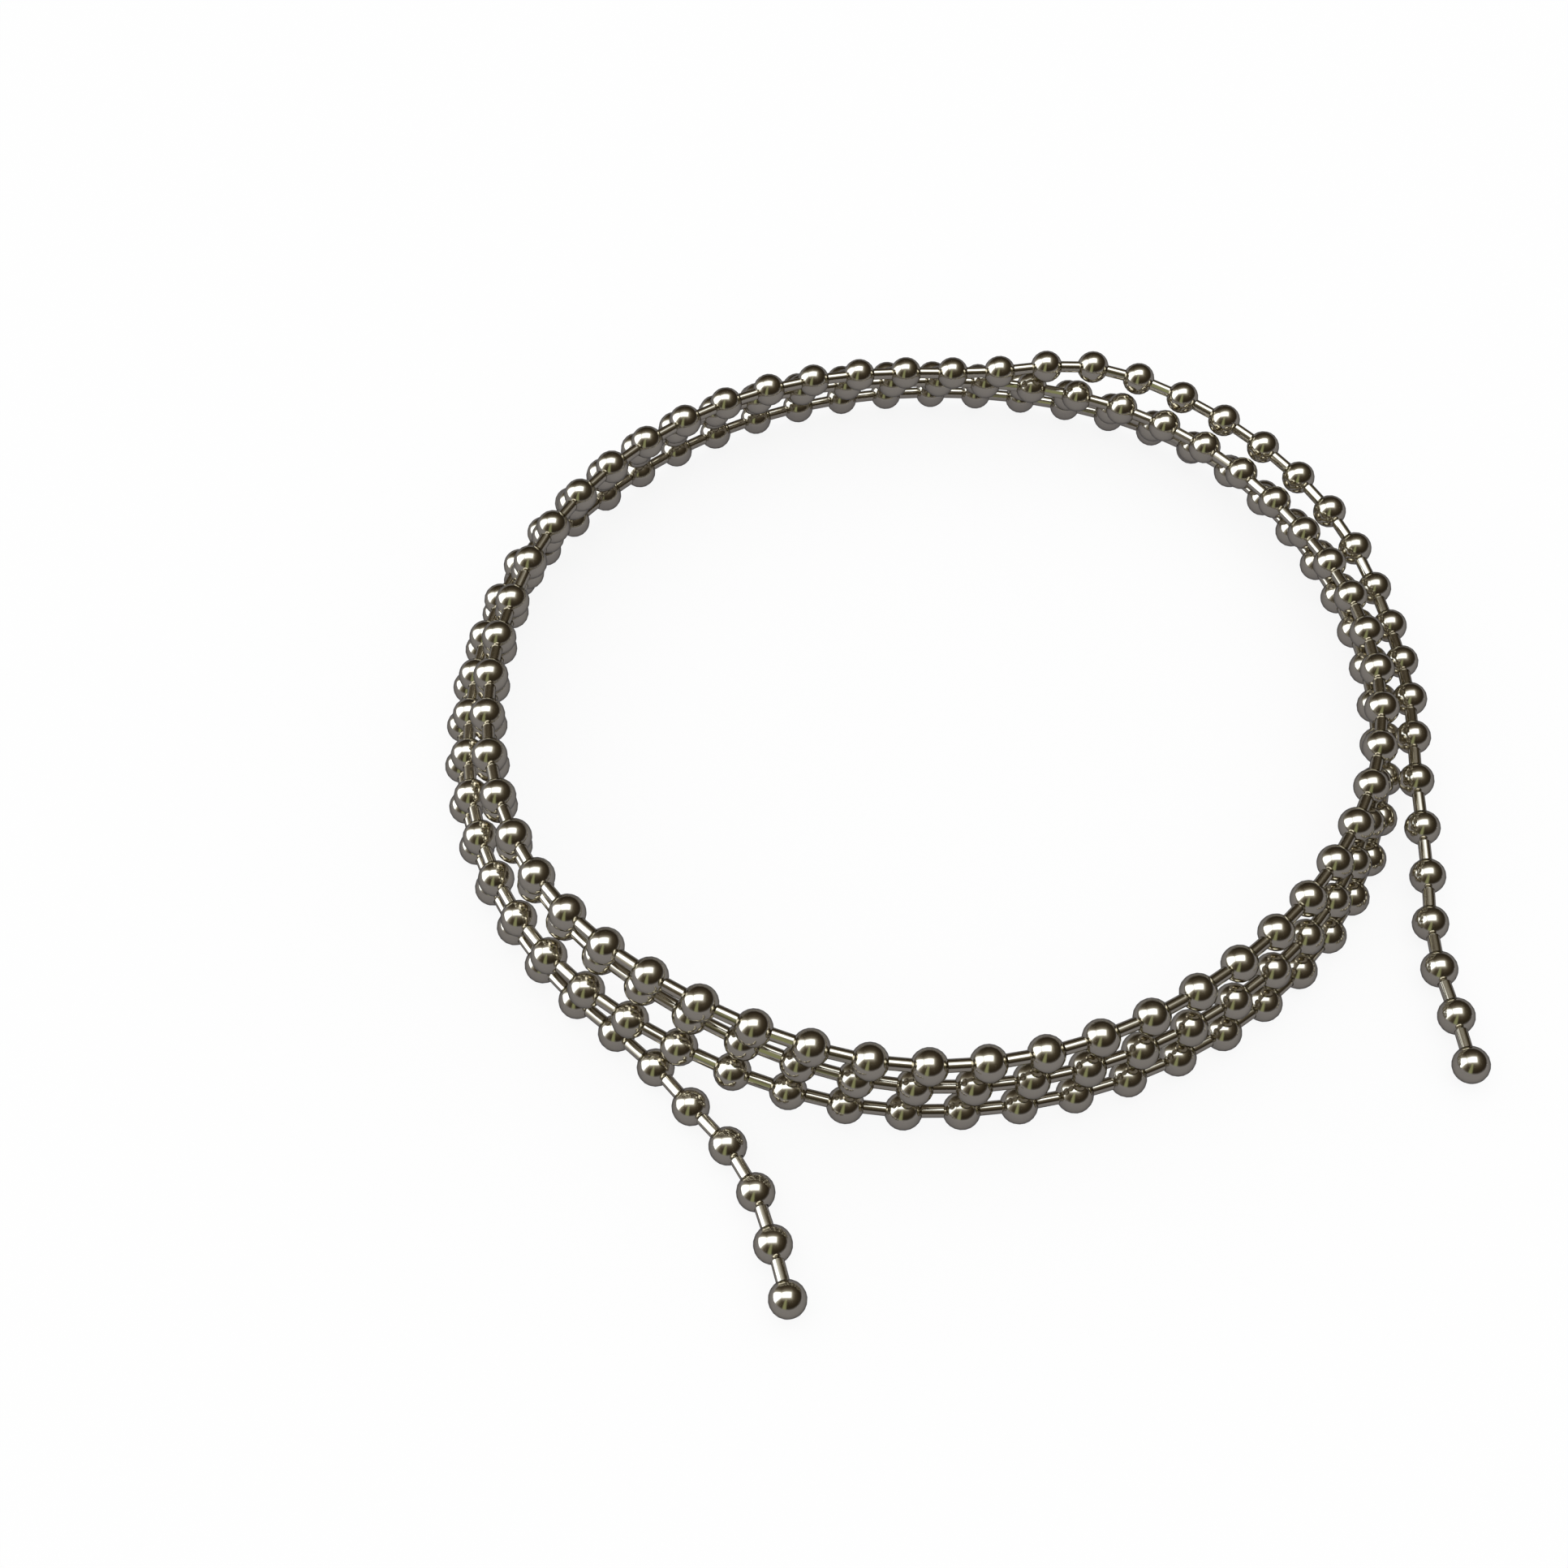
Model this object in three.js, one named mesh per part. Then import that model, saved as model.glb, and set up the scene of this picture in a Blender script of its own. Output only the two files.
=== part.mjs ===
// Operating chain of a roller blind: hollow steel balls strung on short steel links, lying in a
// loose coil of about three and a half turns with both ends running free.
// Millimetres, +Z up. The coil lies on z = 0, with the middle of its outline at x = y = 0.

import * as THREE from 'three';

// Ball and link
const ballDiameter = 4.5;
const ballPitch = 6.75;
const ballWall = 0.4;
const linkDiameter = 1.6;
const linkHeadDiameter = 2.7;
const linkHeadLength = 0.75;
const linkEndPlay = 0.45;
const holeClearance = 0.3;

// Lay of the chain. Each pair is an angle along the coil, in degrees, and how far outside the coil
// radius the chain lies there; between the crossover and the left tail it is given every 45 degrees.
const coilRadius = 60.05;
const strandGap = 0.3;
const climbPerBall = 1.1;
const stationAngle = 45;
const rightTail = [[-41, 23.5], [-33, 13.5], [-24, 8.5], [-12, 4.5]];
const crossover = [[0, 4.5], [30, 6.5], [60, 2], [75, -4.5], [90, -6.5]];
const coilOffsets = [
  -7, -5, 0, 0.5, -2, -0.5, 0,
  -4, -4, -4.5, -0.5, 0.5, 0, -0.5, 2,
  0, -1.5, -1.5, 2.5, 1, 1, 1.5, 5,
  1.5, -1, 0, 2.5,
];
const leftTail = [[12, 3.5], [20, 7], [26, 11], [30, 17], [34, 28]];

// How the chain is divided into bodies
const runCount = 30;
const endBalls = 3;
const runSides = 6;
const endSides = 8;

const ballRadius = ballDiameter / 2;
const linkRadius = linkDiameter / 2;
const holeRadius = linkRadius + holeClearance;
const shoulder = 0.4 * ballRadius;
const shoulderRadius = 0.98 * ballRadius;
const socketDepth = linkEndPlay + linkHeadLength / 2;
const routeStep = 0.25;

const steel = { color: 0x8d877c, roughness: 0.18, metalness: 1 };

// Every station of the lay as [angle along the coil, radius], from the right end to the left end.
function layStations() {
  const stations = [...rightTail, ...crossover];
  for (const offset of coilOffsets) {
    stations.push([stations.at(-1)[0] + stationAngle, offset]);
  }
  const tailStart = stations.at(-1)[0];
  for (const [angle, offset] of leftTail) stations.push([tailStart + angle, offset]);
  return stations.map(([angle, offset]) => [angle, coilRadius + offset]);
}

// Slope of the radius at a station, from its neighbours.
function slopeAt(stations, k) {
  const before = stations[Math.max(k - 1, 0)];
  const after = stations[Math.min(k + 1, stations.length - 1)];
  return (after[1] - before[1]) / (after[0] - before[0]);
}

// Radius at an angle: a smooth curve through the stations.
function radiusAt(stations, angle) {
  let k = 0;
  while (k < stations.length - 2 && stations[k + 1][0] <= angle) k += 1;
  const span = stations[k + 1][0] - stations[k][0];
  const s = (angle - stations[k][0]) / span;
  const rise = 3 * s * s - 2 * s * s * s;
  const leave = s * (1 - s) * (1 - s) * span * slopeAt(stations, k);
  const arrive = s * s * (s - 1) * span * slopeAt(stations, k + 1);
  return stations[k][1] * (1 - rise) + stations[k + 1][1] * rise + leave + arrive;
}

// Ball centres seen from above, one pitch apart along the lay.
function planLay() {
  const stations = layStations();
  const start = stations[0][0];
  const steps = Math.floor((stations.at(-1)[0] - start) / routeStep);
  const centres = [];
  let travelled = 0;
  let last = null;
  for (let k = 0; k <= steps; k += 1) {
    const angle = start + k * routeStep;
    const radius = radiusAt(stations, angle);
    const turn = THREE.MathUtils.degToRad(angle);
    const here = new THREE.Vector3(radius * Math.cos(turn), radius * Math.sin(turn), ballRadius);
    const stride = last ? here.distanceTo(last) : 0;
    while (centres.length * ballPitch <= travelled + stride) {
      const part = stride ? (centres.length * ballPitch - travelled) / stride : 0;
      centres.push(last ? last.clone().lerp(here, part) : here.clone());
    }
    travelled += stride;
    last = here;
  }
  return centres;
}

// Height at which a ball or link of this radius clears everything laid from index `from` on.
function restHeight(place, radius, centres, from) {
  let height = ballRadius;
  const clear = (x, y, z, other) => {
    const reach = radius + other + strandGap;
    const apart = Math.hypot(x - place.x, y - place.y);
    if (apart < reach) height = Math.max(height, z + Math.sqrt(reach * reach - apart * apart));
  };
  for (let j = from; j < centres.length; j += 1) {
    const ball = centres[j];
    if (Math.abs(ball.x - place.x) + Math.abs(ball.y - place.y) > 3 * ballPitch) continue;
    clear(ball.x, ball.y, ball.z, ballRadius);
    if (j + 1 === centres.length) continue;
    for (const part of [0.25, 0.5, 0.75]) {
      const spot = ball.clone().lerp(centres[j + 1], part);
      clear(spot.x, spot.y, spot.z, linkRadius);
    }
  }
  return height;
}

// Lays the chain down from its left end: each ball comes to rest on the turns already there, and
// a strand climbs or drops by a limited step from ball to ball.
function layDown(centres) {
  for (let i = centres.length - 1; i >= 0; i -= 1) {
    const ball = centres[i];
    const next = centres[i + 1];
    ball.z = restHeight(ball, ballRadius, centres, i + 3);
    if (!next) continue;
    for (const part of [0.25, 0.5, 0.75]) {
      const spot = ball.clone().lerp(next, part);
      const linkHeight = restHeight(spot, linkRadius, centres, i + 3);
      ball.z = Math.max(ball.z, linkHeight);
      next.z = Math.max(next.z, linkHeight);
    }
    ball.z = Math.max(ball.z, next.z - climbPerBall);
    for (let k = i + 1; k < centres.length; k += 1) {
      centres[k].z = Math.max(centres[k].z, centres[k - 1].z - climbPerBall);
    }
  }
}

// Moves the lay so that the middle of its outline is at the origin.
function centreLay(centres) {
  const middle = new THREE.Box3().setFromPoints(centres).getCenter(new THREE.Vector3());
  for (const centre of centres) centre.sub(new THREE.Vector3(middle.x, middle.y, 0));
  return centres;
}

// Unit vector from one ball to the next; past an end it carries on straight.
function linkDirection(centres, i) {
  const k = THREE.MathUtils.clamp(i, 0, centres.length - 2);
  return centres[k + 1].clone().sub(centres[k]).normalize();
}

// Unit vector along the chain through the middle of a ball.
function ballAxis(centres, i) {
  return linkDirection(centres, i - 1).add(linkDirection(centres, i)).normalize();
}

// One ring of a loft: centre, the direction it faces, radius and how far it is turned.
function ring(centre, axis, along, radius, turned = 0) {
  return { centre: centre.clone().addScaledVector(axis, along), axis, radius, turned };
}

// A closed body through a row of rings. It is a revolve of the radii, whose rings are then
// carried to their own centres and turned to face along the chain.
function loft(rings, sides) {
  const ends = [{ ...rings[0], radius: 0 }, { ...rings.at(-1), radius: 0 }];
  const row = [ends[0], ...rings, ends[1]];
  const profile = row.map((one, k) => new THREE.Vector2(one.radius, k));
  const geometry = new THREE.LatheGeometry(profile, sides);
  const position = geometry.attributes.position;
  const up = new THREE.Vector3(0, 0, 1);
  for (let v = 0; v < position.count; v += 1) {
    const one = row[v % row.length];
    const angle = (Math.floor(v / row.length) % sides + one.turned) * 2 * Math.PI / sides;
    const side = new THREE.Vector3().crossVectors(one.axis, up).normalize();
    const rise = new THREE.Vector3().crossVectors(side, one.axis);
    const spot = one.centre.clone();
    spot.addScaledVector(rise, one.radius * Math.cos(angle));
    spot.addScaledVector(side, one.radius * Math.sin(angle));
    position.setXYZ(v, spot.x, spot.y, spot.z);
  }
  geometry.computeVertexNormals();
  return geometry;
}

// Rings of one ball of a run. Its second shoulder is turned by half a facet, so that the ball
// rounds off with few faces. The last ball of a run ends in a socket for the next link.
function ballRings(centres, i, turned, isLast) {
  const centre = centres[i];
  const axis = ballAxis(centres, i);
  const neck = Math.sqrt(ballRadius ** 2 - linkRadius ** 2);
  const mouth = Math.sqrt(ballRadius ** 2 - holeRadius ** 2);
  const rings = [
    ring(centre, linkDirection(centres, i - 1), -neck, linkRadius, turned),
    ring(centre, axis, -shoulder, shoulderRadius, turned),
    ring(centre, axis, shoulder, shoulderRadius, turned + 0.5),
  ];
  if (isLast) {
    rings.push(ring(centre, axis, mouth, holeRadius, turned + 0.5));
    rings.push(ring(centre, axis, socketDepth, holeRadius, turned + 0.5));
  } else {
    rings.push(ring(centre, linkDirection(centres, i), neck, linkRadius, turned + 0.5));
  }
  return rings;
}

// A run of balls and links in one body, with the link that reaches back into the ball before it.
function chainRun(centres, first, last) {
  const back = linkDirection(centres, first - 1);
  const rings = [ring(centres[first - 1], back, socketDepth + strandGap, linkRadius)];
  for (let i = first; i <= last; i += 1) {
    rings.push(...ballRings(centres, i, (i - first) / 2, i === last));
  }
  return loft(rings, runSides);
}

// Points on an arc about the ball's centre, from one tilt to another, as [radius, along].
function arc(radius, fromTilt, toTilt, parts) {
  return Array.from({ length: parts + 1 }, (_, k) => {
    const tilt = fromTilt + (toTilt - fromTilt) * k / parts;
    return new THREE.Vector2(Math.max(radius * Math.cos(tilt), 0), radius * Math.sin(tilt));
  });
}

// Hollow ball, rolled from sheet, with a hole where each link enters: outside, then inside. The
// tip of the chain is closed on its free side.
function ballShell(isTip) {
  const inner = ballRadius - ballWall;
  const outerTilt = Math.acos(holeRadius / ballRadius);
  const innerTilt = Math.acos(holeRadius / inner);
  const profile = arc(ballRadius, -outerTilt, isTip ? Math.PI / 2 : outerTilt, isTip ? 5 : 4);
  profile.push(...arc(inner, isTip ? Math.PI / 2 : innerTilt, -innerTilt, isTip ? 3 : 2));
  profile.push(profile[0].clone());
  return new THREE.LatheGeometry(profile, endSides);
}

// Link from ball to ball. A head inside each hollow ball keeps it in the hole; an end that goes
// into a socket is plain.
function linkPin(length, isPlainAtStart) {
  const headRadius = linkHeadDiameter / 2;
  const headed = [
    [0, linkEndPlay],
    [headRadius, linkEndPlay + linkHeadLength / 4],
    [linkRadius, linkEndPlay + linkHeadLength],
  ];
  const plain = [[0, socketDepth + strandGap], [linkRadius, socketDepth + strandGap]];
  const start = isPlainAtStart ? plain : headed;
  const profile = [];
  for (const [radius, along] of start) {
    profile.push(new THREE.Vector2(radius, along - length / 2));
  }
  for (const [radius, along] of headed.toReversed()) {
    profile.push(new THREE.Vector2(radius, length / 2 - along));
  }
  return new THREE.LatheGeometry(profile, endSides);
}

const group = new THREE.Group();

function add(name, geometry, centre = new THREE.Vector3(), axis = new THREE.Vector3(0, 1, 0)) {
  const mesh = new THREE.Mesh(geometry, new THREE.MeshStandardMaterial(steel));
  mesh.name = name;
  mesh.position.copy(centre);
  mesh.quaternion.setFromUnitVectors(new THREE.Vector3(0, 1, 0), axis);
  group.add(mesh);
}

function addLink(name, from, to, isPlainAtStart = false) {
  const axis = to.clone().sub(from).normalize();
  add(name, linkPin(from.distanceTo(to), isPlainAtStart), from.clone().lerp(to, 0.5), axis);
}

// The last few balls and links of a free end, as the loose pieces that they are.
function addEnd(name, centres, order) {
  const outward = centres[order[0]].clone().sub(centres[order[1]]).normalize();
  order.forEach((i, k) => {
    const axis = k === 0 ? outward : ballAxis(centres, i);
    add(`${name}_ball_${k + 1}`, ballShell(k === 0), centres[i], axis);
    if (k > 0) addLink(`${name}_link_${k}`, centres[i], centres[order[k - 1]]);
  });
}

const lay = planLay();
layDown(lay);
centreLay(lay);
const lastBall = lay.length - 1;
const firstOfLeftEnd = lay.length - endBalls;
addEnd('right_end', lay, Array.from({ length: endBalls }, (_, k) => k));
const ballsPerRun = (firstOfLeftEnd - endBalls) / runCount;
for (let k = 0; k < runCount; k += 1) {
  const first = endBalls + Math.round(k * ballsPerRun);
  const last = endBalls + Math.round((k + 1) * ballsPerRun) - 1;
  add(`chain_run_${String(k + 1).padStart(2, '0')}`, chainRun(lay, first, last));
}
addLink(`left_end_link_${endBalls}`, lay[firstOfLeftEnd - 1], lay[firstOfLeftEnd], true);
addEnd('left_end', lay, Array.from({ length: endBalls }, (_, k) => lastBall - k));

export default group;
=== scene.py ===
import math
import random

import bmesh
import bpy
from mathutils import Matrix, Vector


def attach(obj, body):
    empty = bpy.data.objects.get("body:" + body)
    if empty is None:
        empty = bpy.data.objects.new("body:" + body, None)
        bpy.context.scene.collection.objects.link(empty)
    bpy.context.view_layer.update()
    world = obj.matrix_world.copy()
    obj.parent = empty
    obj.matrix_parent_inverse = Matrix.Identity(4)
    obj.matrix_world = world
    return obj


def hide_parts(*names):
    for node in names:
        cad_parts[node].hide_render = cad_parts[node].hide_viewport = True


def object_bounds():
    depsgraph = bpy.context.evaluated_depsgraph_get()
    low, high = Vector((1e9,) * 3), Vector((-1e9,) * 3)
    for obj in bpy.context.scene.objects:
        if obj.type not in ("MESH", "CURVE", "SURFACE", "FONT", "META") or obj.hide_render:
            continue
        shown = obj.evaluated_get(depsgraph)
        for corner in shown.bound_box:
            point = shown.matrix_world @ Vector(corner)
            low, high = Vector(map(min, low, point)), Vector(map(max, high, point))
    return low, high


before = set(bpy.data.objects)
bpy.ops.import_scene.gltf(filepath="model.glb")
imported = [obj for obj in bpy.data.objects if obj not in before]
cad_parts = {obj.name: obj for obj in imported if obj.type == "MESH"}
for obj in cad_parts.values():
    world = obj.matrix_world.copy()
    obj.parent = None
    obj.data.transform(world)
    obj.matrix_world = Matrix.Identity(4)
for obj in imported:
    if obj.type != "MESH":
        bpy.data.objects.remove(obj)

cad_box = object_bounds()

# The chain is worked out in millimetres. The pieces made from it, the floor and the camera are in
# metres.
MM = 0.001

# Ball and link
BALL_DIAMETER = 4.5
BALL_PITCH = 6.75
BALL_WALL = 0.4
LINK_DIAMETER = 1.6
LINK_HEAD_DIAMETER = 2.7
LINK_HEAD_LENGTH = 0.75
LINK_END_PLAY = 0.45
BALL_RADIUS = BALL_DIAMETER / 2
LINK_RADIUS = LINK_DIAMETER / 2

# Share of its length, counted from its outer end, at which the head of a link is widest
HEAD_WIDEST = 0.25

# The holes of a ball are drawn 0.08 mm inside the surface of the links, so that no gap shows where
# the chain bends
HOLE_RADIUS = 0.72

# How far inside the box of the solids every ball stays, at least
BOX_MARGIN = 0.001

# Faces round a ball, from hole to hole outside and inside, from the hole of a tip to the middle of its
# closed side, and round a link
BALL_SIDES = 24
OUTER_BANDS = 9
INNER_BANDS = 2
TIP_BANDS = 10
LINK_SIDES = 12

# An edge this near the axis lies on it, points this near each other are one, and a link is shaded
# sharp where it bends by more degrees than this
ON_AXIS = 0.02
SAME_POINT = 0.0001
SHARP_BEND = 38

# Lay of the chain. A station is an angle round the coil in degrees, and how far outside the coil
# radius the chain lies there. On the coil only that distance is given, at every STATION_ANGLE, and
# the angles of the left tail start at the end of the coil. The route is walked in ROUTE_STEP degrees.
COIL_RADIUS = 60.05
STATION_ANGLE = 45
ROUTE_STEP = 0.25
RIGHT_TAIL = [(-41, 23.5), (-33, 13.5), (-24, 8.5), (-12, 4.5)]
CROSSOVER = [(0, 4.5), (30, 6.5), (60, 2), (75, -4.5), (90, -6.5)]
COIL_OFFSETS = [
    -7, -5, 0, 0.5, -2, -0.5, 0,
    -4, -4, -4.5, -0.5, 0.5, 0, -0.5, 2,
    0, -1.5, -1.5, 2.5, 1, 1, 1.5, 5,
    1.5, -1, 0, 2.5,
]
LEFT_TAIL = [(12, 3.5), (20, 7), (26, 11), (30, 17), (34, 28)]

# How the strands rest on each other: the clear room between them, the most that the chain climbs or
# falls from ball to ball, where along a link its height is tried, how many balls further along the
# next strand may begin, and how far away, along X and Y together, a ball is still tried
STRAND_GAP = 0.3
CLIMB_PER_BALL = 1.1
LINK_SPOTS = (0.25, 0.5, 0.75)
NEXT_STRAND = 3
TRIED_REACH = 3 * BALL_PITCH

# How the balls are shared out between the runs and the free ends, and the seed for how far each ball
# is rolled round its axis
RUN_COUNT = 30
END_BALLS = 3
ROLL_SEED = 11

# Nickel: its darker and its lighter colour, its tint seen edge on, its roughness and what haze adds to
# it, and the strength and depth of its orange peel
DARKER_NICKEL = (0.635, 0.583, 0.467)
LIGHTER_NICKEL = (0.685, 0.632, 0.512)
EDGE_TINT = (0.4, 0.4, 0.4)
ROUGHNESS = 0.10
HAZE_ROUGHNESS = 0.05
PEEL_STRENGTH = 0.02
PEEL_DEPTH = 0.00002

# Patterns of the nickel: how fine each is, in patches to the metre, its levels, and how strong each
# level is beside the coarser one
COLOUR_DRIFT = (85, 2, 0.5)
BALL_HAZE = (420, 4, 0.6)
LINK_HAZE = (700, 4, 0.6)
ORANGE_PEEL = (900, 1, 0.5)

# Camera: its place in metres, its tilt up from straight down in degrees, its lens and film in
# millimetres, and how near and how far it sees in metres
CAMERA_SPOT = (-0.02008, -0.17788, 0.22808)
CAMERA_TILT = 37.99
LENS = 50.87
FILM_WIDTH = 36
NEAREST_SEEN = 0.01
FURTHEST_SEEN = 50

# Floor: how far it reaches to each side, its height, its matt colour, and how much of a plain shade is
# laid over that. The plain shade is white to the eye, and grey where the steel mirrors it.
FLOOR_REACH = 6
FLOOR_HEIGHT = -0.00002
FLOOR_COLOUR = (0.95, 0.95, 0.95)
PLAIN_PART = 0.88
MIRRORED_SHADE = (0.187, 0.185, 0.221)
WHITE = (1, 1, 1)

# Studio, as the steel mirrors it. Each pane has its middle, across and up, and its reach to both sides
# of it, on a wall or a ceiling one unit away from the coil.
OVERHEAD_PANE = (-0.1425, 0.0325, 0.5175, 0.2925)
SIDE_PANE = (0.085, 0.665, 0.405, 0.725)
OLIVE_CARD = (-0.335, 1.05, 0.19, 1.15)
PANE_EDGE = 0.09

# The dark seam between the light overhead and the light at the left, and how far a bright halo and a
# weak glow reach past them
SEAM_PLACE = -0.69
SEAM_REACH = 0.09
HALO_REACH = 0.15
GLOW_REACH = 0.65

# Colours of the light, and the slopes between which the low backdrop fades into the walls
PANE_LIGHT = (2.4, 2.6, 2.95)
HALO_LIGHT = (0.81, 0.82, 0.80)
GLOW_LIGHT = (0.162, 0.136, 0.096)
OLIVE_LIGHT = (0.300, 0.326, 0.183)
WALL_LIGHT = (0.0324, 0.0256, 0.0177)
BACKDROP_LIGHT = (0.278, 0.276, 0.308)
BACKDROP_TOP = (-0.12, 0.2)

# The least that a direction is divided by
LEAST_SLOPE = 0.02


def place_camera():
    lens = bpy.data.cameras.new("camera")
    lens.sensor_width = FILM_WIDTH
    lens.lens = LENS
    lens.clip_start = NEAREST_SEEN
    lens.clip_end = FURTHEST_SEEN
    camera = bpy.data.objects.new("camera", lens)
    camera.location = CAMERA_SPOT
    camera.rotation_euler = (math.radians(CAMERA_TILT), 0, 0)
    bpy.context.collection.objects.link(camera)
    bpy.context.scene.camera = camera


# The lay of the chain

def lay_stations():
    """Every station of the lay as (angle round the coil, radius), from the right end to the left."""
    stations = RIGHT_TAIL + CROSSOVER
    for offset in COIL_OFFSETS:
        stations.append((stations[-1][0] + STATION_ANGLE, offset))
    tail_start = stations[-1][0]
    stations += [(tail_start + angle, offset) for angle, offset in LEFT_TAIL]
    return [(angle, COIL_RADIUS + offset) for angle, offset in stations]


def slope_at(stations, k):
    """Slope of the radius at a station, taken from the stations on both sides of it."""
    before = stations[max(k - 1, 0)]
    after = stations[min(k + 1, len(stations) - 1)]
    return (after[1] - before[1]) / (after[0] - before[0])


def radius_at(stations, angle):
    """Radius at an angle: a smooth curve through the stations."""
    k = 0
    while k < len(stations) - 2 and stations[k + 1][0] <= angle:
        k += 1
    span = stations[k + 1][0] - stations[k][0]
    s = (angle - stations[k][0]) / span
    rise = 3 * s * s - 2 * s * s * s
    leave = s * (1 - s) * (1 - s) * span * slope_at(stations, k)
    arrive = s * s * (s - 1) * span * slope_at(stations, k + 1)
    return stations[k][1] * (1 - rise) + stations[k + 1][1] * rise + leave + arrive


def between(start, end, part):
    return [a + (b - a) * part for a, b in zip(start, end)]


def plan_lay():
    """Ball centres seen from above, one pitch apart along the lay."""
    stations = lay_stations()
    start = stations[0][0]
    steps = math.floor((stations[-1][0] - start) / ROUTE_STEP)
    centres = []
    travelled = 0
    last = None
    for k in range(steps + 1):
        angle = start + k * ROUTE_STEP
        radius = radius_at(stations, angle)
        turn = math.radians(angle)
        here = (radius * math.cos(turn), radius * math.sin(turn))
        stride = math.dist(here, last) if last else 0
        while len(centres) * BALL_PITCH <= travelled + stride:
            part = (len(centres) * BALL_PITCH - travelled) / stride if stride else 0
            x, y = between(last, here, part) if last else here
            centres.append([x, y, BALL_RADIUS])
        travelled += stride
        last = here
    return centres


def rest_height(x, y, radius, centres, first):
    """Height at which a ball or link of this radius clears everything laid from `first` on."""
    height = BALL_RADIUS
    for j in range(first, len(centres)):
        ball = centres[j]
        if abs(ball[0] - x) + abs(ball[1] - y) > TRIED_REACH:
            continue
        spots = [(ball, BALL_RADIUS)]
        if j + 1 < len(centres):
            spots += [(between(ball, centres[j + 1], part), LINK_RADIUS) for part in LINK_SPOTS]
        for spot, other in spots:
            reach = radius + other + STRAND_GAP
            apart = math.hypot(spot[0] - x, spot[1] - y)
            if apart < reach:
                height = max(height, spot[2] + math.sqrt(reach * reach - apart * apart))
    return height


def lay_down(centres):
    """Lays the chain down from its left end, each ball at rest on the turns already there."""
    for i in reversed(range(len(centres))):
        ball = centres[i]
        ball[2] = rest_height(ball[0], ball[1], BALL_RADIUS, centres, i + NEXT_STRAND)
        if i + 1 == len(centres):
            continue
        following = centres[i + 1]
        for part in LINK_SPOTS:
            x, y, _ = between(ball, following, part)
            link_height = rest_height(x, y, LINK_RADIUS, centres, i + NEXT_STRAND)
            ball[2] = max(ball[2], link_height)
            following[2] = max(following[2], link_height)
        ball[2] = max(ball[2], following[2] - CLIMB_PER_BALL)
        for k in range(i + 1, len(centres)):
            centres[k][2] = max(centres[k][2], centres[k - 1][2] - CLIMB_PER_BALL)


def lay_chain():
    """Centre of every ball, with the middle of the lay at x = y = 0."""
    centres = plan_lay()
    lay_down(centres)
    middle = [(min(c[a] for c in centres) + max(c[a] for c in centres)) / 2 for a in (0, 1)]
    return [Vector((c[0] - middle[0], c[1] - middle[1], c[2])) for c in centres]


def link_direction(centres, i):
    """Direction of the link after a ball, or of the link nearest to it past an end of the chain."""
    k = min(max(i, 0), len(centres) - 2)
    return (centres[k + 1] - centres[k]).normalized()


def ball_axis(centres, i):
    """A ball points halfway between the link before it and the link after it."""
    return (link_direction(centres, i - 1) + link_direction(centres, i)).normalized()


# Finishes

class Reading:
    """A value read over a surface. Arithmetic on it adds Math nodes to its finish."""

    def __init__(self, finish, socket):
        self.finish = finish
        self.socket = socket

    def math(self, operation, *values):
        return self.finish.node("ShaderNodeMath", {"operation": operation}, dict(enumerate(values)))

    def __abs__(self):
        return self.math("ABSOLUTE", self)

    def __neg__(self):
        return self.math("MULTIPLY", self, -1.0)

    def __add__(self, other):
        return self.math("ADD", self, other)

    def __sub__(self, other):
        return self.math("SUBTRACT", self, other)

    def __rsub__(self, other):
        return self.math("SUBTRACT", other, self)

    def __mul__(self, other):
        return self.math("MULTIPLY", self, other)

    def __truediv__(self, other):
        return self.math("DIVIDE", self, other)

    def __pow__(self, other):
        return self.math("POWER", self, other)

    __rmul__ = __mul__
    __radd__ = __add__

    def at_least(self, other):
        return self.math("MAXIMUM", self, other)

    def at_most(self, other):
        return self.math("MINIMUM", self, other)

    def dying_away(self, reach):
        """1 where this is 0, and 37% of that for every reach by which it grows."""
        return self.math("EXPONENT", self * (-1 / reach))


class Finish:
    """The nodes of one material, or of the studio round the chain."""

    def __init__(self, tree):
        self.tree = tree
        tree.nodes.clear()

    def node(self, kind, settings, inputs, output=0):
        """Adds a node with its settings and the values or links of its sockets."""
        made = self.tree.nodes.new(kind)
        for name, value in settings.items():
            setattr(made, name, value)
        for key, value in inputs.items():
            if isinstance(value, Reading):
                self.tree.links.new(value.socket, made.inputs[key])
            else:
                made.inputs[key].default_value = value
        return Reading(self, made.outputs[output]) if made.outputs else None

    def noise(self, place, scale, detail, roughness):
        inputs = {"Vector": place, "Scale": scale, "Detail": detail, "Roughness": roughness}
        return self.node("ShaderNodeTexNoise", {}, inputs)

    def blend(self, part, first, second):
        """One colour fading into another. Either may be a colour or a reading of one."""
        inputs = {0: part, 6: as_colour(first), 7: as_colour(second)}
        return self.node("ShaderNodeMix", {"data_type": "RGBA"}, inputs, output=2)

    def fade(self, value, start, end):
        """1 up to the start, smoothly down to 0 from the end on."""
        inputs = {"Value": value, "From Min": start, "From Max": end, "To Min": 1.0, "To Max": 0.0}
        return self.node("ShaderNodeMapRange", {"interpolation_type": "SMOOTHSTEP"}, inputs)

    def ray(self, kind):
        """1 for the rays of one kind, and 0 for all others."""
        return self.node("ShaderNodeLightPath", {}, {}, output=f"Is {kind} Ray")


def as_colour(value):
    return value if isinstance(value, Reading) else (*value, 1)


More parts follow.
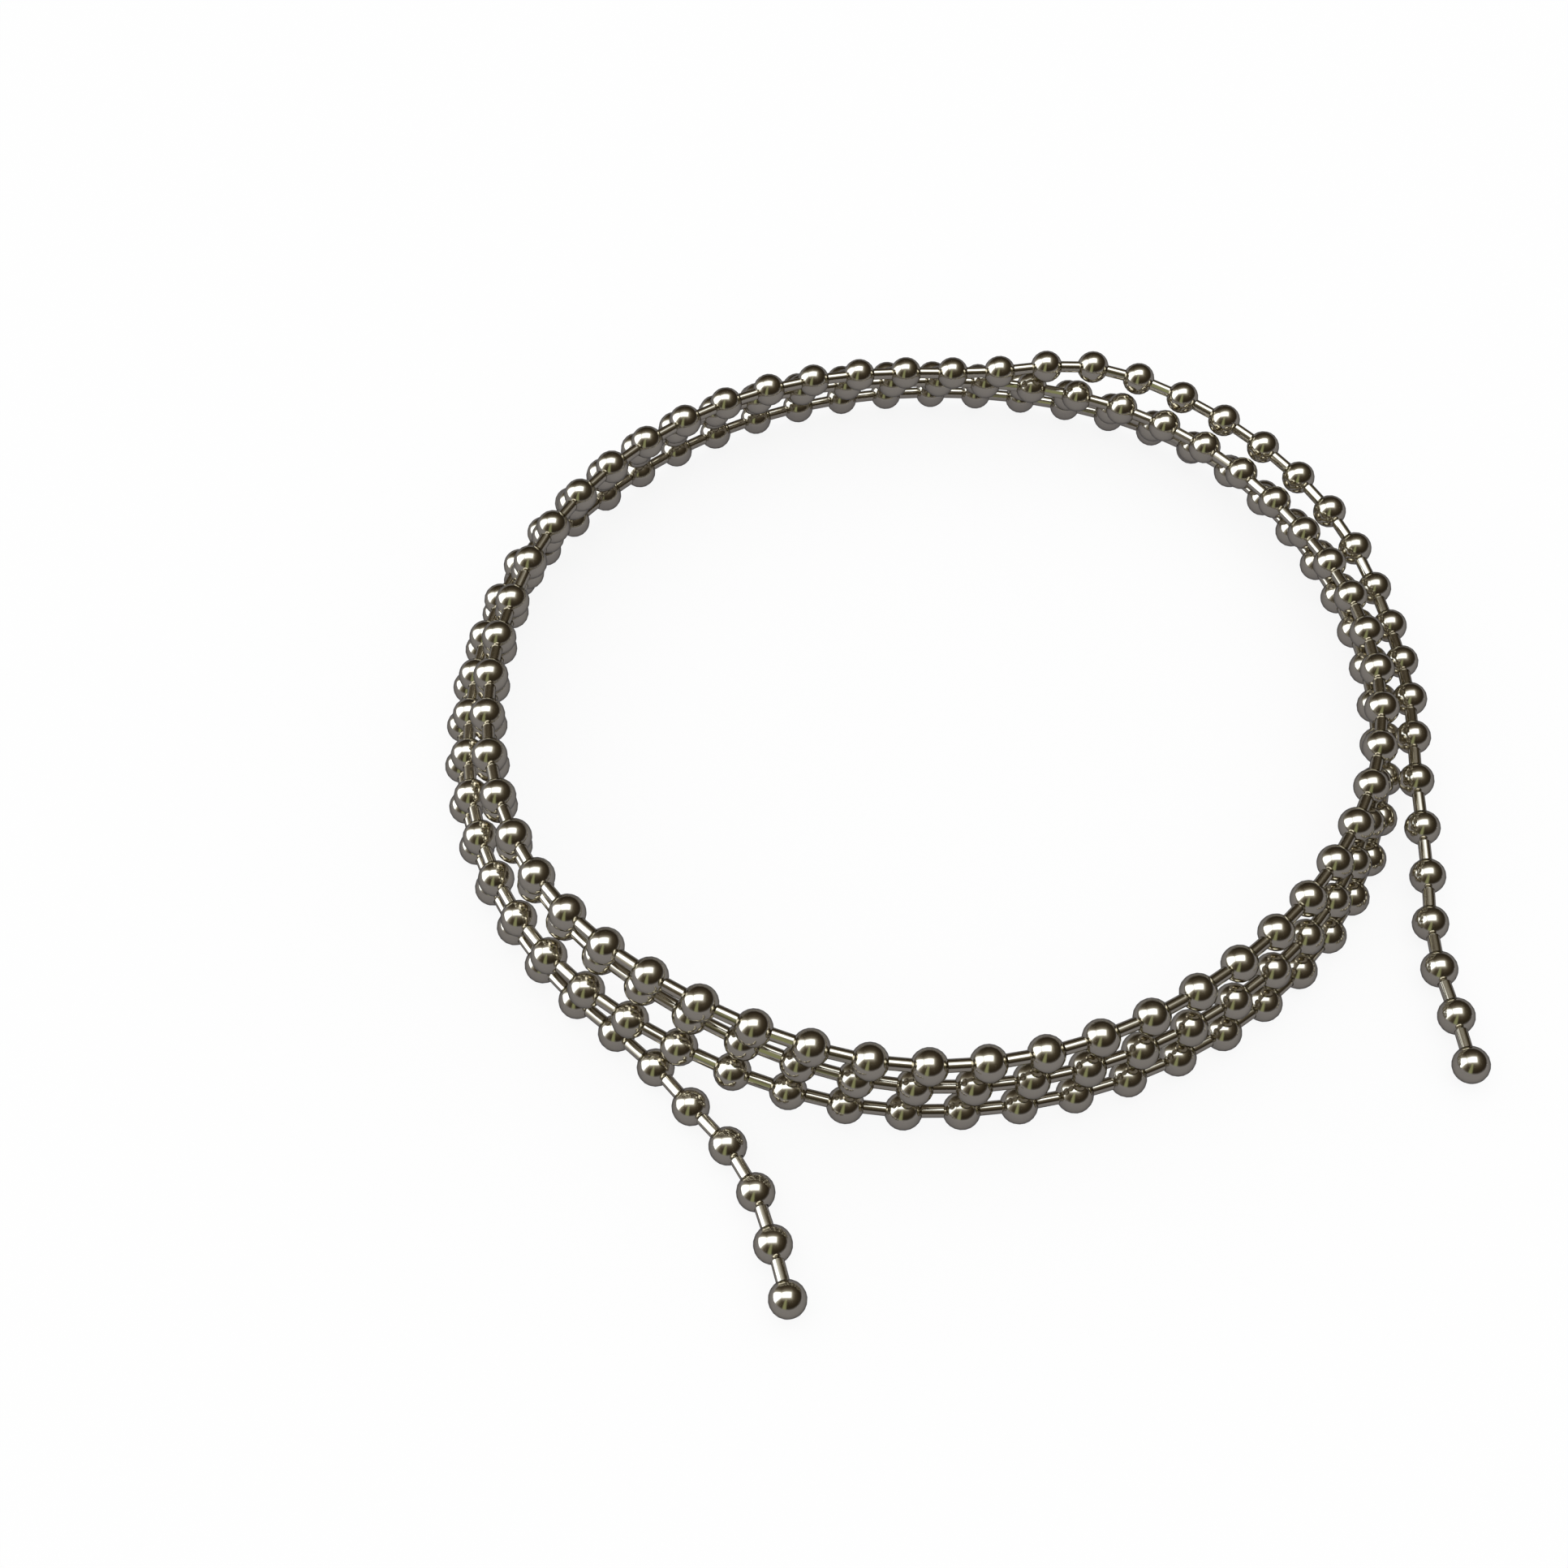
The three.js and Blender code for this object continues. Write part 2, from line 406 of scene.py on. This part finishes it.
def polished_nickel(name, haze_pattern):
    """Nickel plating on polished steel: a warm grey with faint haze and the last of its orange peel."""
    material = bpy.data.materials.new(name)
    material.use_nodes = True
    finish = Finish(material.node_tree)
    place = finish.node("ShaderNodeTexCoord", {}, {}, output="Object")
    drift = finish.noise(place, *COLOUR_DRIFT)
    haze = finish.noise(place, *haze_pattern)
    peel = finish.noise(place, *ORANGE_PEEL)
    relief = finish.node("ShaderNodeBump", {}, {
        "Strength": PEEL_STRENGTH,
        "Distance": PEEL_DEPTH,
        "Height": peel,
    })
    shader = finish.node("ShaderNodeBsdfPrincipled", {}, {
        "Base Color": finish.blend(drift, DARKER_NICKEL, LIGHTER_NICKEL),
        "Metallic": 1.0,
        "Roughness": ROUGHNESS + HAZE_ROUGHNESS * haze,
        "Specular Tint": as_colour(EDGE_TINT),
        "Normal": relief,
    })
    finish.node("ShaderNodeOutputMaterial", {}, {"Surface": shader})
    return material


# Patterns of a ball and a link, along Z

def arc(radius, start, end, steps):
    """Points of a section as (distance from the axis, height, lean of the surface), from one lean
    to another, on a circle about the middle of the ball."""
    leans = [start + (end - start) * k / steps for k in range(steps + 1)]
    return [(radius * math.cos(lean), radius * math.sin(lean), lean) for lean in leans]


def ball_section(is_tip):
    """Section of a hollow ball, round its outside and back along its inside. The tip of the chain
    is closed at its free end."""
    inner_radius = BALL_RADIUS - BALL_WALL
    outer_lean = math.acos(HOLE_RADIUS / BALL_RADIUS)
    inner_lean = math.acos(HOLE_RADIUS / inner_radius)
    if is_tip:
        outside = arc(BALL_RADIUS, -outer_lean, math.pi / 2, TIP_BANDS)
        inside = arc(inner_radius, math.pi / 2, -inner_lean, INNER_BANDS)
    else:
        outside = arc(BALL_RADIUS, -outer_lean, outer_lean, OUTER_BANDS)
        inside = arc(inner_radius, inner_lean, -inner_lean, INNER_BANDS)
    return outside + [(out, up, lean + math.pi) for out, up, lean in inside]


def spin_closed(shape, sides):
    """Spins the section in a shape round Z into a closed skin that faces outwards."""
    bmesh.ops.spin(
        shape, geom=shape.verts[:] + shape.edges[:], cent=(0, 0, 0), axis=(0, 0, 1),
        angle=2 * math.pi, steps=sides, use_merge=True,
    )
    bmesh.ops.remove_doubles(shape, verts=shape.verts, dist=SAME_POINT)
    bmesh.ops.recalc_face_normals(shape, faces=shape.faces)


def finished(shape, name):
    """The mesh of a shape, shaded smooth all over."""
    for face in shape.faces:
        face.smooth = True
    mesh = bpy.data.meshes.new(name)
    shape.to_mesh(mesh)
    shape.free()
    return mesh


def ball_skin(is_tip=False):
    """One hollow ball, with the true direction of its round surface at every corner."""
    section = ball_section(is_tip)
    skin = bmesh.new()
    points = [skin.verts.new((out, 0, up)) for out, up, _ in section]
    for start, end in zip(points, points[1:] + points[:1]):
        if start.co.x + end.co.x > ON_AXIS:
            skin.edges.new((start, end))
    spin_closed(skin, BALL_SIDES)
    mesh = finished(skin, "ball_skin")
    facing = []
    for corner in mesh.vertices:
        x, y, up = corner.co
        out = math.hypot(x, y)
        lean = min(section, key=lambda point: math.dist(point[:2], (out, up)))[2]
        side = Vector((x, y, 0)).normalized()
        facing.append(side * math.cos(lean) + Vector((0, 0, math.sin(lean))))
    return mesh, facing


def link_pin():
    """One link, one pitch from ball centre to ball centre, with a head inside each ball."""
    tip = BALL_PITCH / 2 - LINK_END_PLAY
    profile = [
        (0, tip),
        (LINK_HEAD_DIAMETER / 2, tip - LINK_HEAD_LENGTH * HEAD_WIDEST),
        (LINK_RADIUS, tip - LINK_HEAD_LENGTH),
    ]
    outline = profile + [(out, -along) for out, along in reversed(profile)]
    pin = bmesh.new()
    points = [pin.verts.new((out, 0, along)) for out, along in outline]
    for start, end in zip(points, points[1:]):
        pin.edges.new((start, end))
    spin_closed(pin, LINK_SIDES)
    return finished(pin, "link_pin"), None


# Pieces of the chain

def strung(name, pattern, places):
    """One piece made of the pattern at each place. A pattern is a mesh, with the directions that its
    corners face, or None where its faces give them."""
    mesh, facing = pattern
    shape = bmesh.new()
    for place in places:
        known = len(shape.verts)
        shape.from_mesh(mesh)
        shape.verts.ensure_lookup_table()
        bmesh.ops.transform(shape, matrix=place, verts=shape.verts[known:])
    piece = bpy.data.objects.new(name, finished(shape, name))
    bpy.context.collection.objects.link(piece)
    if facing:
        turned = [(place.to_3x3() @ way).normalized() for place in places for way in facing]
        piece.data.normals_split_custom_set_from_vertices(turned)
    return piece


def stand_along(centre, axis, roll=0.0, size=1.0, stretch=1.0):
    """Places a pattern at a centre, in metres, with its Z along the axis."""
    turn = axis.to_track_quat("Z", "Y").to_matrix().to_4x4()
    scale = Matrix.Diagonal((MM * size, MM * size, MM * size * stretch, 1))
    return Matrix.Translation(centre * MM) @ turn @ Matrix.Rotation(roll, 4, "Z") @ scale


def snug(centre):
    """Share of its full size that a ball may have, so that none stands out of the solids' box."""
    low, high = (Vector(corner) / MM for corner in cad_box)
    room = min(*(centre - low), *(high - centre)) - BOX_MARGIN
    return min(room / BALL_RADIUS, 1)


def ball_places(centres, rolls):
    """Where every ball stands. The first and the last turn their closed side away from the chain."""
    axes = [ball_axis(centres, i) for i in range(len(centres))]
    axes[0] = (centres[0] - centres[1]).normalized()
    axes[-1] = (centres[-1] - centres[-2]).normalized()
    return [stand_along(c, axis, roll, snug(c)) for c, axis, roll in zip(centres, axes, rolls)]


def dress(piece, node, material):
    """Gives a piece its finish, and lets it take the place of its node."""
    piece.data.materials.append(material)
    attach(piece, "root")
    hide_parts(node)


def add_balls(node, skin, places, material):
    dress(strung(f"{node}_skin", skin, places), node, material)


def add_links(node, pin, centres, numbers, material):
    """The links from each numbered ball to the one before it."""
    places = []
    for i in numbers:
        start, end = centres[i - 1], centres[i]
        stretch = (end - start).length / BALL_PITCH
        places.append(stand_along((start + end) / 2, (end - start).normalized(), stretch=stretch))
    piece = strung(f"{node}_pins", pin, places)
    piece.data.set_sharp_from_angle(angle=math.radians(SHARP_BEND))
    dress(piece, node, material)


def nearest_whole(value):
    return math.floor(value + 0.5)


def string_chain(centres, rolls):
    """Every piece of the chain: the balls and links of both free ends, and the runs between them."""
    skin, tip, pin = ball_skin(), ball_skin(is_tip=True), link_pin()
    ball_finish = polished_nickel("polished_nickel_balls", BALL_HAZE)
    link_finish = polished_nickel("polished_nickel_links", LINK_HAZE)
    places = ball_places(centres, rolls)
    last = len(centres) - 1
    add_balls("right_end_ball_1", tip, [places[0]], ball_finish)
    add_balls("left_end_ball_1", tip, [places[last]], ball_finish)
    for k in range(1, END_BALLS):
        add_balls(f"right_end_ball_{k + 1}", skin, [places[k]], ball_finish)
        add_balls(f"left_end_ball_{k + 1}", skin, [places[last - k]], ball_finish)
        add_links(f"right_end_link_{k}", pin, centres, [k], link_finish)
        add_links(f"left_end_link_{k}", pin, centres, [last - k + 1], link_finish)
    add_links(f"left_end_link_{END_BALLS}", pin, centres, [last - END_BALLS + 1], link_finish)
    share = (len(centres) - 2 * END_BALLS) / RUN_COUNT
    for k in range(RUN_COUNT):
        first = END_BALLS + nearest_whole(k * share)
        end = END_BALLS + nearest_whole((k + 1) * share)
        node = f"chain_run_{k + 1:02d}"
        add_balls(node, skin, places[first:end], ball_finish)
        add_links(node, pin, centres, range(first, end), link_finish)


# Studio

def lay_floor():
    """A matt floor that takes the shadow, with a plain shade laid over it."""
    shape = bmesh.new()
    bmesh.ops.create_grid(shape, x_segments=1, y_segments=1, size=FLOOR_REACH)
    floor = bpy.data.objects.new("floor", finished(shape, "floor"))
    floor.location.z = FLOOR_HEIGHT
    bpy.context.collection.objects.link(floor)
    material = bpy.data.materials.new("white_floor")
    material.use_nodes = True
    finish = Finish(material.node_tree)
    seen, mirrored, through = (finish.ray(kind) for kind in ("Camera", "Glossy", "Transmission"))
    matt = finish.node("ShaderNodeBsdfDiffuse", {}, {"Color": as_colour(FLOOR_COLOUR)})
    shade = finish.blend(mirrored, WHITE, MIRRORED_SHADE)
    plain = finish.node("ShaderNodeEmission", {}, {"Color": shade, "Strength": 1.0})
    part = PLAIN_PART * (seen + mirrored + through)
    shown = finish.node("ShaderNodeMixShader", {}, {0: part, 1: matt, 2: plain})
    finish.node("ShaderNodeOutputMaterial", {}, {"Surface": shown})
    floor.data.materials.append(material)


def pane(finish, across, up, extent):
    """How far a direction lies in a pane of light, and how far away from the pane it points."""
    middle_across, middle_up, half_across, half_up = extent
    past_side = abs(across - middle_across) - half_across
    past_top = abs(up - middle_up) - half_up
    within_sides = finish.fade(past_side, -PANE_EDGE, PANE_EDGE)
    within_height = finish.fade(past_top, -PANE_EDGE, PANE_EDGE)
    beside = past_side.at_least(0.0)
    over = past_top.at_least(0.0)
    return within_sides * within_height, (beside ** 2.0 + over ** 2.0) ** 0.5


def surround():
    """The studio. The steel sees a pane of light overhead and another at the left, an olive card
    behind the camera, and dim warm walls above a low grey backdrop. The eye sees white, and matt
    surfaces get a plain even light."""
    world = bpy.data.worlds.new("studio")
    bpy.context.scene.world = world
    world.use_nodes = True
    # Matt surfaces find the light by their own rays, and so they get the plain light and not the panes
    world.cycles.sampling_method = "NONE"
    finish = Finish(world.node_tree)
    way = finish.node("ShaderNodeTexCoord", {}, {}, output="Generated")
    x, y, z = (finish.node("ShaderNodeSeparateXYZ", {}, {"Vector": way}, output=k) for k in range(3))
    above = z.at_least(LEAST_SLOPE)
    left = (-x).at_least(LEAST_SLOPE)
    behind = (-y).at_least(LEAST_SLOPE)
    overhead, from_overhead = pane(finish, x / above, y / above, OVERHEAD_PANE)
    side, from_side = pane(finish, y / left, z / left, SIDE_PANE)
    card, _ = pane(finish, x / behind, z / behind, OLIVE_CARD)
    away = from_overhead.at_most(from_side)
    seam = finish.fade(abs(x / above - SEAM_PLACE), 0.0, SEAM_REACH)
    lit = overhead.at_least(side) * (1 - seam)
    low = finish.fade(z, *BACKDROP_TOP) * (1 - lit)
    colour = finish.blend(away.dying_away(GLOW_REACH), WALL_LIGHT, GLOW_LIGHT)
    colour = finish.blend(card, colour, OLIVE_LIGHT)
    colour = finish.blend(away.dying_away(HALO_REACH), colour, HALO_LIGHT)
    colour = finish.blend(lit, colour, PANE_LIGHT)
    colour = finish.blend(low, colour, BACKDROP_LIGHT)
    plain = finish.ray("Camera") + finish.ray("Diffuse") + finish.ray("Transmission")
    colour = finish.blend(plain, colour, WHITE)
    shader = finish.node("ShaderNodeBackground", {}, {"Color": colour, "Strength": 1.0})
    finish.node("ShaderNodeOutputWorld", {}, {"Surface": shader})


place_camera()
balls = lay_chain()
dice = random.Random(ROLL_SEED)
string_chain(balls, [dice.uniform(0, 2 * math.pi) for _ in balls])
lay_floor()
surround()
bpy.context.scene.view_settings.view_transform = "Standard"
